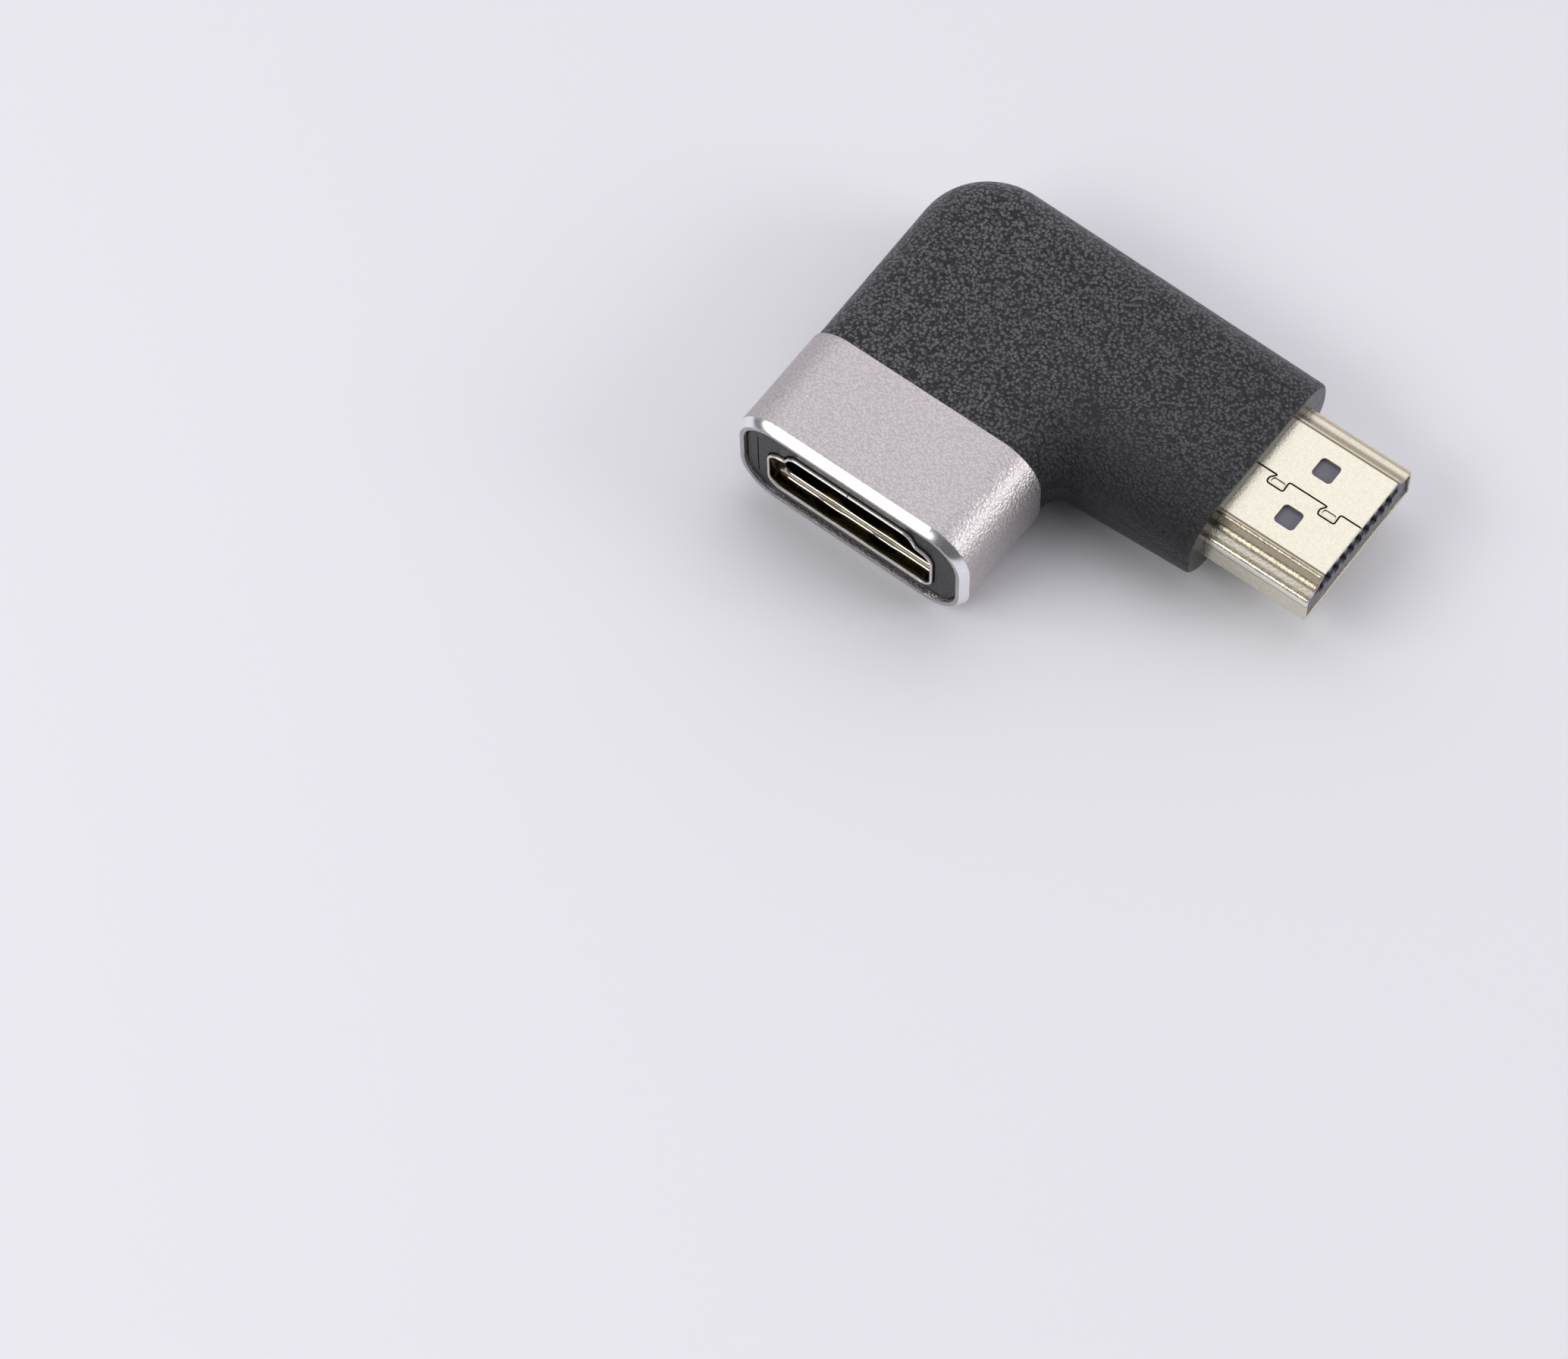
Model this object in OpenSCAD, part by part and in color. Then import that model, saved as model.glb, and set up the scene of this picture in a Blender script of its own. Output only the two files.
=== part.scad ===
// Right angle adapter for 19 contact video connectors: a plug at the end of one arm and a socket at the end of
// the other, lying flat. X runs along the plug, -Y out of the socket's mouth, and Z is up. The origin is on the
// resting face, straight below the point where the two connectors' axes cross.

/* [Overall] */
// Plug axis and socket axis above the resting face
mid_h = 5.2; // [5:0.05:7]
// Socket axis to the plug's nose, along X
nose_x = 31.75; // [30.5:0.05:40]
// Plug axis to the socket's mouth, along Y
mouth_y = 21; // [20.5:0.05:26]

/* [Housing] */
// Width of the arm that carries the plug
arm_w = 18.4; // [17.5:0.1:19.6]
// Width of the arm that carries the socket
socket_arm_w = 20.8; // [20.4:0.1:21.2]
// End face of the plug arm, from the socket axis
end_x = 22.6; // [21:0.1:23.5]
// Front face of the housing against the sleeve, from the plug axis
seam_y = 11.3; // [11:0.1:12.2]
// Top above the connector axes at the plug end
top_end_h = 3.65; // [3.5:0.05:4.3]
// Top above the connector axes at the sleeve
top_seam_h = 4.75; // [4.6:0.05:5.1]
// Top above the connector axes at the back edge
top_back_h = 4.2; // [4:0.05:4.8]
// Underside below the connector axes at the plug end
low_end_h = 3.65; // [3.5:0.05:4.6]
// Radius of the outer corner, seen from above
corner_r = 6.8; // [4:0.1:8]
// Radius of the fillet in the inner corner, on the middle plane
inner_r = 1.8; // [0.8:0.1:2]
// Radius of the long top and bottom edges
edge_r = 3.2; // [2:0.1:3.4]
// Height of the room around the circuit board
room_h = 5; // [3:0.1:5.4]

/* [Sleeve] */
// Width of the metal sleeve
sleeve_w = 21.4; // [21.2:0.05:22]
// Corner radius of the sleeve, seen into the mouth
sleeve_r = 3.7; // [3:0.05:4.5]
// Thickness of the sleeve
sleeve_wall = 0.85; // [0.6:0.05:1]
// Depth of the polished chamfer, along the sleeve
chamfer_len = 0.7; // [0.3:0.05:1.2]
// Width of the polished chamfer, across the sleeve
chamfer_w = 0.45; // [0.2:0.05:0.55]

/* [Socket] */
// Setback of the plastic nose from the sleeve's front
nose_setback = 0.3; // [0:0.05:1]
// Height of the plastic neck that enters the housing
neck_h = 7.4; // [6.6:0.1:7.6]
// Width of the plastic neck that enters the housing
neck_w = 17.4; // [16.4:0.1:17.6]
// How far the neck enters the housing
neck_len = 1.9; // [1:0.1:1.95]
// How far the socket's metal shell reaches past the sleeve into the neck
socket_root_len = 1.8; // [1:0.1:1.85]
// How far the lip of the shell flares out, on each side
lip_flare = 0.45; // [0.1:0.05:0.5]
// Depth of the flared lip
lip_len = 1.1; // [0.5:0.1:2]
// Width of the tongue in the socket
tongue_w = 10.5; // [10:0.1:10.6]
// Thickness of the tongue in the socket
tongue_h = 0.8; // [0.6:0.05:0.85]
// Setback of the tongue from the mouth
tongue_setback = 1.6; // [0.5:0.1:2.5]
// Length of the block that carries the tongue
block_len = 2.1; // [1.5:0.1:2.1]
// Width of a spring finger in the shell
finger_w = 2.2; // [1.5:0.1:2.6]
// Length of a spring finger in the shell
finger_len = 4.6; // [3:0.1:6]
// Distance between the two spring fingers of one wall
finger_pitch = 5.1; // [4:0.1:5.6]

/* [Plug] */
// Width of the plug's metal shell
plug_w = 13.9; // [13.7:0.05:13.95]
// Height of the plug's metal shell
plug_h = 4.45; // [4.3:0.05:4.5]
// Width of the narrow flat of the plug's shell
plug_flat_w = 9.8; // [9.6:0.05:9.9]
// Radius of the narrow flat's edges
flat_r = 0.4; // [0.38:0.01:0.5]
// Radius of the hollow between the narrow flat and a shoulder
hollow_r = 0.95; // [0.9:0.01:1.05]
// Centre of the hollow's arc beyond the end of the narrow flat
hollow_out = 1.365; // [1.3:0.01:1.4]
// Centre of the hollow's arc above the wide flat
hollow_up = 4.31; // [4.28:0.01:4.35]
// Radius of the shoulders
shoulder_r = 0.45; // [0.4:0.01:0.5]
// Centre of a shoulder's arc above the wide flat
shoulder_up = 2.82; // [2.75:0.01:2.85]
// Radius of the wide flat's edges
side_r = 0.5; // [0.45:0.01:0.6]
// Thickness of the sheet metal of both shells
sheet_t = 0.3; // [0.2:0.05:0.3]
// Play between the plug and the socket that it fits, on each side
mating_play = 0.05; // [0.02:0.01:0.1]
// How far the plug's shell reaches into the housing
plug_root_len = 5; // [4:0.1:5.2]
// Setback of the plug's insulator from the shell's nose
insulator_setback = 0.25; // [0:0.05:0.6]
// Height of the slot in the plug's insulator
slot_h = 1; // [0.9:0.05:1.2]
// Width of the slot in the plug's insulator
slot_w = 10.9; // [10.7:0.1:11.3]
// Depth of the slot in the plug's insulator
slot_len = 7.6; // [6:0.1:8.5]
// Side of a latch hole in the plug's narrow flat
hole_w = 1.75; // [1.4:0.05:2]
// Corner radius of a latch hole
hole_r = 0.35; // [0.1:0.05:0.5]
// Distance between the two latch holes
hole_pitch = 4.9; // [4.4:0.05:5.4]
// Latch holes' centres behind the nose
hole_setback = 4.85; // [4:0.05:5.5]
// Width of the butt seam in the sheet metal
butt_gap = 0.08; // [0.04:0.01:0.12]
// Depth of a dovetail tab of the seam
tab_len = 0.95; // [0.6:0.05:1.1]
// Width of a dovetail tab at its head
tab_w = 1.5; // [1.2:0.05:1.6]
// Centre of the front dovetail tab behind the nose
tab_setback = 2.55; // [2.2:0.05:2.8]
// Distance between the two dovetail tabs
tab_pitch = 4.6; // [4.4:0.05:4.8]

/* [Contacts] */
// Number of contacts in each connector
contact_count = 19; // [11:2:19]
// Distance between neighbours of one row
contact_pitch = 1; // [0.95:0.01:1]
// Width of a contact
contact_w = 0.45; // [0.3:0.05:0.5]
// Thickness of a plug's contact
plug_contact_t = 0.15; // [0.1:0.01:0.2]
// Thickness of a socket's contact
socket_contact_t = 0.12; // [0.08:0.01:0.14]
// Height of the bowed tip of a plug's contact
bow_h = 0.06; // [0.02:0.01:0.08]
// Length of a soldered tail on the board
tail_len = 1.6; // [1:0.1:2.5]

/* [Board] */
// Width of the circuit board in both arms
board_w = 12.4; // [11.4:0.1:12.6]
// Thickness of the circuit board
board_t = 1; // [0.8:0.05:1]
// Width of the housing's ledge under the board's edge
ledge_w = 0.8; // [0.4:0.1:1]
// Gap between the board's edge and each connector
board_gap = 0.4; // [0.2:0.05:0.6]

/* [Fits] */
// Clearance around pieces that are slid together
fit_gap = 0.04; // [0.02:0.01:0.08]

/* [Hidden] */
$fn = 48;
arc_n = 6;
function two(i) = i < 10 ? str("0", i) : str(i);
PLUG_CONTACTS = [for (i = [1:contact_count]) str("plug_contact_", two(i))];
SOCKET_CONTACTS = [for (i = [1:contact_count]) str("socket_contact_", two(i))];

// Places along the two axes
plug_root_x = end_x - plug_root_len;
board_x = plug_root_x - board_gap;
nose_block_y = mouth_y - nose_setback;
neck_y = seam_y - neck_len;
shell_back_y = seam_y - socket_root_len;
block_back_y = shell_back_y - fit_gap;
block_front_y = block_back_y + block_len;
board_y = neck_y - board_gap;
tongue_y = mouth_y - tongue_setback;

// Housing
half_arm = arm_w / 2;
half_socket = socket_arm_w / 2;
fillet_r = min(inner_r, seam_y - half_arm - 0.1);
knee_x = half_socket - edge_r - 0.2;
top_slope_y = (top_back_h - top_seam_h) / (half_arm + seam_y);
top_axis_h = top_back_h - top_slope_y * half_arm;
top_slope_x = (top_end_h - top_axis_h) / end_x;
low_slope = (low_end_h - mid_h) / (end_x - knee_x);

// Sleeve and nose
sleeve_h = 2 * mid_h;
bore_w = sleeve_w - 2 * sleeve_wall;
bore_h = sleeve_h - 2 * sleeve_wall;
bore_r = sleeve_r - sleeve_wall;
neck_r = 2;

// Contacts: the row at the wide flat has one more than the row at the narrow flat
low_count = (contact_count + 1) / 2;
high_count = (contact_count - 1) / 2;
contact_bed_h = board_t / 2;
socket_bed_h = tongue_h / 2;
cavity_h = 0.6;
cavity_w = contact_w + 0.15;

// Points of an arc from one angle to another
function arc(cx, cy, r, from, to, n = arc_n) =
    [for (k = [0:n]) [cx + r * cos(from + (to - from) * k / n), cy + r * sin(from + (to - from) * k / n)]];

// A closed outline moved outwards by d with mitred corners; the outline runs anticlockwise
function unit(v) = v / norm(v);
function side_normal(a, b) = unit([b[1] - a[1], a[0] - b[0]]);
function outset(p, d) = [for (i = [0:len(p) - 1])
    let (n1 = side_normal(p[(i + len(p) - 1) % len(p)], p[i]), n2 = side_normal(p[i], p[(i + 1) % len(p)]))
    p[i] + d * (n1 + n2) / (1 + n1 * n2)];

// Outside of the plug's shell seen from its nose, narrow flat up, about the centre of its height:
// the side wall, its shoulder, the hollow under the narrow flat and the flat itself
function right_half() = concat(
    arc(plug_w / 2 - side_r, side_r, side_r, -90, 0, 3),
    arc(plug_w / 2 - shoulder_r, shoulder_up, shoulder_r, 0, 78, 3),
    arc(plug_flat_w / 2 + hollow_out, hollow_up, hollow_r, -100, -146, 4),
    arc(plug_flat_w / 2, plug_h - flat_r, flat_r, 28, 90, 3));
function left_half() = let (r = right_half()) [for (i = [len(r) - 1:-1:0]) [-r[i][0], r[i][1]]];
D_OUTLINE = [for (p = concat(right_half(), left_half())) [p[0], p[1] - plug_h / 2]];
function d_outline(d) = outset(D_OUTLINE, d);

// Turns a drawing of the lateral and the upward direction into a prism along the plug or along the socket
module along_plug(from_x, to_x) {
    translate([from_x, 0, mid_h])
        rotate([90, 0, 90])
            linear_extrude(to_x - from_x)
                children();
}
module along_socket(from_y, to_y) {
    translate([0, -from_y, mid_h])
        rotate([90, 0, 0])
            linear_extrude(to_y - from_y)
                children();
}

// Solid between two outlines of equal length, the first at height h0 and the second at height h1
module loft(p0, h0, p1, h1) {
    n = len(p0);
    polyhedron(
        points = concat([for (p = p0) [p[0], p[1], h0]], [for (p = p1) [p[0], p[1], h1]]),
        faces = concat(
            [[for (i = [0:n - 1]) i], [for (i = [n - 1:-1:0]) n + i]],
            [for (i = [0:n - 1]) [i, n + i, (i + 1) % n]],
            [for (i = [0:n - 1]) [(i + 1) % n, n + i, n + (i + 1) % n]]));
}

// Rounded rectangle about the origin
module rounded(w, h, r) {
    square([w, h - 2 * r], center = true);
    square([w - 2 * r, h], center = true);
    for (sx = [-1, 1])
        for (sy = [-1, 1])
            translate([sx * (w / 2 - r), sy * (h / 2 - r)])
                circle(r);
}

// Rounded rectangle that loses inset on every side over its length
module tapered(w, h, r, inset, length) {
    rotate([90, 0, 0])
        translate([0, 0, -(h / 2 - r)])
            linear_extrude(h - 2 * r)
                polygon([[-w / 2, 0], [w / 2, 0], [w / 2 - inset, length], [-w / 2 + inset, length]]);
    rotate([90, 0, 90])
        translate([0, 0, -(w / 2 - r)])
            linear_extrude(w - 2 * r)
                polygon([[-h / 2, 0], [h / 2, 0], [h / 2 - inset, length], [-h / 2 + inset, length]]);
    for (sx = [-1, 1])
        for (sy = [-1, 1])
            translate([sx * (w / 2 - r), sy * (h / 2 - r), 0])
                cylinder(h = length, r1 = r, r2 = r - inset);
}

// Outline of the housing seen from above at the angle a up its rounded edge: the long sides move inwards and the
// fillet of the inner corner shrinks to a crease
function plan(a) = let (d = edge_r * (1 - cos(a)), f = max(fillet_r * cos(a), 0.08)) concat(
    [[end_x, -half_arm + d], [end_x, half_arm - d], [knee_x, half_arm - d]],
    arc(-half_socket + corner_r, half_arm - corner_r, corner_r - d, 90, 180, 10),
    [[-half_socket + d, -seam_y], [knee_x, -seam_y], [half_socket - d, -seam_y]],
    arc(half_socket - d + f, -half_arm + d - f, f, 180, 90, 6));

// Height of the housing's surface above or below the connector axes
function top_at(p) = top_axis_h + top_slope_x * p[0] + top_slope_y * p[1];
function low_at(p) = mid_h + low_slope * max(0, p[0] - knee_x);

// One half of the housing's outside: rings that climb the wall and round its edge, with caps that are split where
// the underside bends, fanned from a vertex in the outer corner and one at the bend
EDGE_STEPS = [for (k = [0:7]) k * 90 / 7];
corner_i = 8;

// Triangles from one vertex to a run of others, all shifted by first, with their order turned round if asked
function fan(v, run, first, turned) = [for (i = [0:len(run) - 2])
    turned ? [first + v, first + run[i + 1], first + run[i]] : [first + v, first + run[i], first + run[i + 1]]];
function ring(a, up) = [for (p = plan(a))
    [p[0], p[1], up * ((up > 0 ? top_at(p) : low_at(p)) - edge_r * (1 - sin(a)))]];
module half_body(up) {
    rings = concat([[for (p = plan(0)) [p[0], p[1], 0]]], [for (a = EDGE_STEPS) ring(a, up)]);
    n = len(rings[0]);
    last = n * (len(rings) - 1);
    sides = [for (j = [0:len(rings) - 2]) for (i = [0:n - 1])
        let (a = n * j + i, b = n * j + (i + 1) % n, c = a + n, d = b + n)
        each [[a, c, b], [b, c, d]]];
    east = concat([for (i = [15:n - 1]) i], [0, 1]);
    west = [for (i = [3:15]) i];
    whole = [for (i = [corner_i + 1:n + corner_i - 1]) i % n];
    caps = concat(fan(corner_i, whole, 0, false), fan(2, east, last, true), fan(2, west, last, true));
    faces = concat(sides, caps);
    translate([0, 0, mid_h])
        polyhedron(points = [for (r = rings) each r],
            faces = up > 0 ? faces : [for (f = faces) [for (i = [len(f) - 1:-1:0]) f[i]]]);
}

// Hollows that both halves of the housing share: the plug's passage, the neck's seat, the room and the board's seat
module housing_hollows() {
    along_plug(plug_root_x - fit_gap, end_x + 1)
        polygon(d_outline(fit_gap));
    along_socket(neck_y - fit_gap, seam_y + 1)
        rounded(neck_w + 2 * fit_gap, neck_h + 2 * fit_gap, neck_r + fit_gap);
    translate([0, 0, mid_h - room_h / 2])
        linear_extrude(room_h)
            board_outline(-ledge_w, 0.1);
    translate([0, 0, mid_h - board_t / 2 - fit_gap / 2])
        linear_extrude(board_t + fit_gap)
            board_outline(fit_gap, fit_gap);
}

// The board from above, wider by side on every long edge and longer by ends towards the connectors
module board_outline(side, ends) {
    h = board_w / 2 + side;
    x1 = board_x + (side < 0 ? board_gap : 0) + ends;
    y1 = board_y + (side < 0 ? board_gap : 0) + ends;
    polygon([[-h, -y1], [h, -y1], [h, -h], [x1, -h], [x1, h], [-h, h]]);
}

module upper_housing() {
    color("#2b2b2e")
        difference() {
            half_body(1);
            housing_hollows();
        }
}

module lower_housing() {
    color("#232326")
        difference() {
            half_body(-1);
            housing_hollows();
        }
}

module metal_sleeve() {
    color("#c8bebe")
        difference() {
            union() {
                along_socket(seam_y, mouth_y - chamfer_len)
                    rounded(sleeve_w, sleeve_h, sleeve_r);
                translate([0, -mouth_y + chamfer_len, mid_h])
                    rotate([90, 0, 0])
                        tapered(sleeve_w, sleeve_h, sleeve_r, chamfer_w, chamfer_len);
            }
            along_socket(seam_y - 1, mouth_y + 1)
                rounded(bore_w, bore_h, bore_r);
        }
}

// Plastic nose that fills the sleeve around the socket's shell and seats in the housing with its neck
module socket_nose() {
    color("#3c3c40")
        difference() {
            union() {
                along_socket(seam_y, nose_block_y)
                    rounded(bore_w - 2 * fit_gap, bore_h - 2 * fit_gap, bore_r - fit_gap);
                along_socket(neck_y, seam_y)
                    rounded(neck_w, neck_h, neck_r);
            }
            along_socket(neck_y - 1, mouth_y)
                polygon(d_outline(mating_play + sheet_t + fit_gap));
            lip_solid(mating_play + sheet_t + fit_gap, fit_gap);
        }
}

// Flared mouth of the socket's shell, grown by d
module lip_solid(d, extra) {
    translate([0, -mouth_y, mid_h])
        rotate([90, 0, 0])
            loft(d_outline(d), -lip_len - extra, d_outline(d + lip_flare), 0.02);
}

module socket_shell() {
    color("#b9b4aa")
        difference() {
            union() {
                along_socket(shell_back_y, mouth_y - lip_len)
                    polygon(d_outline(mating_play + sheet_t));
                intersection() {
                    lip_solid(mating_play + sheet_t, 0);
                    along_socket(mouth_y - lip_len, mouth_y)
                        square(4 * plug_w, center = true);
                }
            }
            along_socket(shell_back_y - 1, mouth_y - lip_len + 0.01)
                polygon(d_outline(mating_play));
            lip_solid(mating_play, 0);
            for (sx = [-1, 1])
                translate([sx * finger_pitch / 2, -mouth_y + lip_len + 0.4, mid_h])
                    finger_slot();
            along_socket(mouth_y - lip_len - 1.5, mouth_y + 1)
                translate([-butt_gap / 2, 0])
                    square([butt_gap, plug_h]);
        }
}

// U-shaped cut around a spring finger, through both flats of the shell
module finger_slot() {
    cut = 0.2;
    translate([0, 0, -plug_h])
        linear_extrude(2 * plug_h)
            difference() {
                translate([-finger_w / 2 - cut, 0])
                    square([finger_w + 2 * cut, finger_len]);
                translate([-finger_w / 2, cut])
                    square([finger_w, finger_len]);
            }
}

// Block at the back of the socket with the tongue that carries the contacts
module socket_insulator() {
    color("#26262a")
        difference() {
            union() {
                along_socket(block_back_y, block_front_y)
                    polygon(d_outline(mating_play - fit_gap));
                along_socket(block_back_y, tongue_y)
                    square([tongue_w, tongue_h], center = true);
            }
            for (i = [1:contact_count])
                contact_place(i)
                    along_socket(block_back_y - 1, tongue_y - 0.5)
                        translate([-contact_w / 2, socket_bed_h - socket_contact_t])
                            square([contact_w, 2 * socket_contact_t]);
        }
}

// Moves a contact drawn in the high row to its place across the connector and turns the low row upside down
function is_low(i) = i <= low_count;
function contact_offset(i) = is_low(i) ? (i - (low_count + 1) / 2) * contact_pitch
    : (i - low_count - (high_count + 1) / 2) * contact_pitch;
module contact_place(i) {
    translate([contact_offset(i), 0, mid_h])
        mirror([0, 0, is_low(i) ? 1 : 0])
            translate([0, 0, -mid_h])
                children();
}

// Socket contact: it lies in the tongue's groove and its tail steps out to the face of the board
module socket_contact(i) {
    h0 = socket_bed_h - socket_contact_t;
    step_y = -block_back_y + 0.05;
    end_y = -board_y + tail_len;
    color("#d8b968")
        contact_place(i)
            translate([-contact_w / 2, 0, mid_h])
                rotate([90, 0, 90])
                    linear_extrude(contact_w)
                        polygon([[-tongue_y + 0.55, h0], [step_y + socket_contact_t, h0],
                            [step_y + socket_contact_t, contact_bed_h],
                            [end_y, contact_bed_h], [end_y, contact_bed_h + socket_contact_t],
                            [step_y, contact_bed_h + socket_contact_t],
                            [step_y, h0 + socket_contact_t], [-tongue_y + 0.55, h0 + socket_contact_t]]);
}

// Dovetail tab of the butt seam, seen from above, with its centre on the seam
module tab(grow) {
    neck = tab_w - 0.3;
    head = tab_w + 2 * grow;
    polygon([[-neck / 2 - grow, grow], [neck / 2 + grow, grow], [head / 2, -tab_len + 0.25],
        [head / 2 - 0.25, -tab_len - grow], [-head / 2 + 0.25, -tab_len - grow], [-head / 2, -tab_len + 0.25]]);
}

module butt_seam() {
    g = butt_gap / 2;
    difference() {
        union() {
            translate([plug_root_x - 1, -g])
                square([nose_x - plug_root_x + 2, butt_gap]);
            for (k = [0, 1])
                translate([nose_x - tab_setback - k * tab_pitch, 0])
                    tab(g);
        }
        for (k = [0, 1])
            translate([nose_x - tab_setback - k * tab_pitch, 0])
                translate([0, 2 * g])
                    tab(-g);
    }
}

module plug_shell() {
    color("#e6dcc4")
        difference() {
            along_plug(plug_root_x, nose_x)
                polygon(D_OUTLINE);
            along_plug(plug_root_x - 1, nose_x + 1)
                polygon(d_outline(-sheet_t));
            translate([0, 0, mid_h])
                linear_extrude(plug_h)
                    butt_seam();
            for (sy = [-1, 1])
                translate([nose_x - hole_setback, sy * hole_pitch / 2, mid_h])
                    linear_extrude(plug_h)
                        rounded(hole_w, hole_w, hole_r);
        }
}

module plug_insulator() {
    front = nose_x - insulator_setback;
    color("#4a4852")
        difference() {
            along_plug(plug_root_x, front)
                polygon(d_outline(-sheet_t - fit_gap));
            along_plug(front - slot_len, front + 1)
                square([slot_w, slot_h], center = true);
            for (i = [1:contact_count])
                plug_place(i)
                    along_plug(plug_root_x - 1, front + 1)
                        translate([-cavity_w / 2, contact_bed_h - 0.01])
                            square([cavity_w, cavity_h]);
        }
}

module plug_place(i) {
    translate([0, contact_offset(i), mid_h])
        mirror([0, 0, is_low(i) ? 1 : 0])
            translate([0, 0, -mid_h])
                children();
}

// Plug contact: a flat strip on the board's face that runs to the nose and bows towards the slot near its tip
module plug_contact(i) {
    x0 = board_x - tail_len;
    x1 = nose_x - insulator_setback - 0.6;
    b = contact_bed_h;
    t = plug_contact_t;
    color("#d8b968")
        plug_place(i)
            translate([0, contact_w / 2, mid_h])
                rotate([90, 0, 0])
                    linear_extrude(contact_w)
                        polygon([[x0, b], [x1 - 3.6, b], [x1 - 2.6, b - bow_h], [x1 - 1.8, b - bow_h],
                            [x1, b + 0.2], [x1, b + 0.2 + t], [x1 - 1.8, b - bow_h + t],
                            [x1 - 2.6, b - bow_h + t], [x1 - 3.6, b + t], [x0, b + t]]);
}

module circuit_board() {
    color("#1f5a3c")
        translate([0, 0, mid_h - board_t / 2])
            linear_extrude(board_t)
                board_outline(0, 0);
}

upper_housing();
lower_housing();
metal_sleeve();
socket_nose();
circuit_board();
plug_shell();
plug_insulator();
socket_shell();
socket_insulator();
for (i = [1:contact_count])
    plug_contact(i);
for (i = [1:contact_count])
    socket_contact(i);
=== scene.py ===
"""Right angle video adapter: an L-shaped black housing in two halves, a blasted metal sleeve around the socket
and a champagne gold plug. Lengths are in metres in the frame of the solids, X along the plug, Z up."""
import math
import bmesh
import bpy
import numpy as np
from mathutils import Matrix, Vector


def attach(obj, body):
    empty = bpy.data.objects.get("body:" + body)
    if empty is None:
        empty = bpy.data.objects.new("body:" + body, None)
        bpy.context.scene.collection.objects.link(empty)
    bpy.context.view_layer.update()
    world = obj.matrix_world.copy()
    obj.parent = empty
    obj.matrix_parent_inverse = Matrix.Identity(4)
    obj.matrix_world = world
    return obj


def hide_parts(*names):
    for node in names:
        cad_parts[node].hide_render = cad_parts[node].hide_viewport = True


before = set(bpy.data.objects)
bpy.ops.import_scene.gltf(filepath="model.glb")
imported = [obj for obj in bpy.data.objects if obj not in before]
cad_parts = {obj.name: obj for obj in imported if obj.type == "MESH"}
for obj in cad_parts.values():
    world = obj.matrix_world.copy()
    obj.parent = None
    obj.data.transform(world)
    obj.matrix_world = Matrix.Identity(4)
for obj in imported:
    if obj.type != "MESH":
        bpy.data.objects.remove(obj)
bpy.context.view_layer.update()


# Camera
# The pose was fitted to points of the photograph. It is given from the plug's nose: the view's direction and
# roll in degrees, how far the nose lies from the view's middle (across, up), and the distance along the view.
MM = 0.001
MID = 5.2 * MM          # height of both connectors' axes
NOSE_X = 31.75 * MM     # plug's nose
AZIMUTH, ELEVATION, ROLL = 39.12, 63.53, -2.08
SHIFT = (42.81 * MM, 10.18 * MM, -395.0 * MM)
FOCAL, PICTURE_WIDTH = 7000, 2068    # pixels
SENSOR = 36


def camera():
    """Camera at nose - across s0 - above s1 - back s2, where across and above are the view's axes after the roll
    and back points from the adapter to the camera."""
    az, el, ro = (math.radians(v) for v in (AZIMUTH, ELEVATION, ROLL))
    back = Vector((math.sin(az) * math.cos(el), -math.cos(az) * math.cos(el), math.sin(el)))
    right = (-back).cross(Vector((0, 0, 1))).normalized()
    up = right.cross(-back)
    across = right * math.cos(ro) + up * math.sin(ro)
    above = -right * math.sin(ro) + up * math.cos(ro)
    place = Vector((NOSE_X, 0, MID)) - across * SHIFT[0] - above * SHIFT[1] - back * SHIFT[2]
    data = bpy.data.cameras.new("camera")
    data.sensor_width = SENSOR
    data.lens = FOCAL * SENSOR / PICTURE_WIDTH
    data.clip_start = 0.01
    data.clip_end = 10
    ob = bpy.data.objects.new("camera", data)
    bpy.context.scene.collection.objects.link(ob)
    rows = [(across[i], above[i], back[i], place[i]) for i in range(3)]
    ob.matrix_world = Matrix((*rows, (0, 0, 0, 1)))
    bpy.context.scene.camera = ob


camera()


# Light
# A white tent: the bright surrounding gives most of the light, dim towards the floor and in front. Soft lamps
# stand over the back, at the left in front and at the right. node, math_node and ramp shorten shader nodes.
def node(tree, kind, inputs=None, **props):
    """New node with the given properties. Each input takes a value or the socket that feeds it."""
    n = tree.nodes.new(kind)
    for k, v in props.items():
        setattr(n, k, v)
    for k, v in (inputs or {}).items():
        if isinstance(v, bpy.types.NodeSocket):
            tree.links.new(v, n.inputs[k])
        else:
            n.inputs[k].default_value = v
    return n


def math_node(tree, op, a, b=0.0):
    """The operation op on a and b."""
    return node(tree, "ShaderNodeMath", {0: a, 1: b}, operation=op).outputs[0]


def ramp(tree, value, start, end, low=0.0, high=1.0, kind="LINEAR"):
    """low + (high - low) s, where s goes from 0 to 1 as the value goes from start to end, straight or eased."""
    inputs = {"Value": value, "From Min": start, "From Max": end, "To Min": low, "To Max": high}
    return node(tree, "ShaderNodeMapRange", inputs, interpolation_type=kind).outputs["Result"]


def surroundings():
    """World light: strength = ramp over the direction's height times ramp over how far it points to the back."""
    world = bpy.data.worlds.new("world")
    world.use_nodes = True
    t = world.node_tree
    way = node(t, "ShaderNodeSeparateXYZ", {0: node(t, "ShaderNodeTexCoord").outputs["Generated"]}).outputs
    high = ramp(t, way["Z"], -0.05, 0.25, 0.36, 0.95, "SMOOTHSTEP")
    behind = ramp(t, way["Y"], -0.35, 0.2, 0.13, 1.0, "SMOOTHSTEP")
    t.links.new(math_node(t, "MULTIPLY", high, behind), t.nodes["Background"].inputs["Strength"])
    t.nodes["Background"].inputs["Color"].default_value = (0.94, 0.935, 1.0, 1)
    bpy.context.scene.world = world


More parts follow.
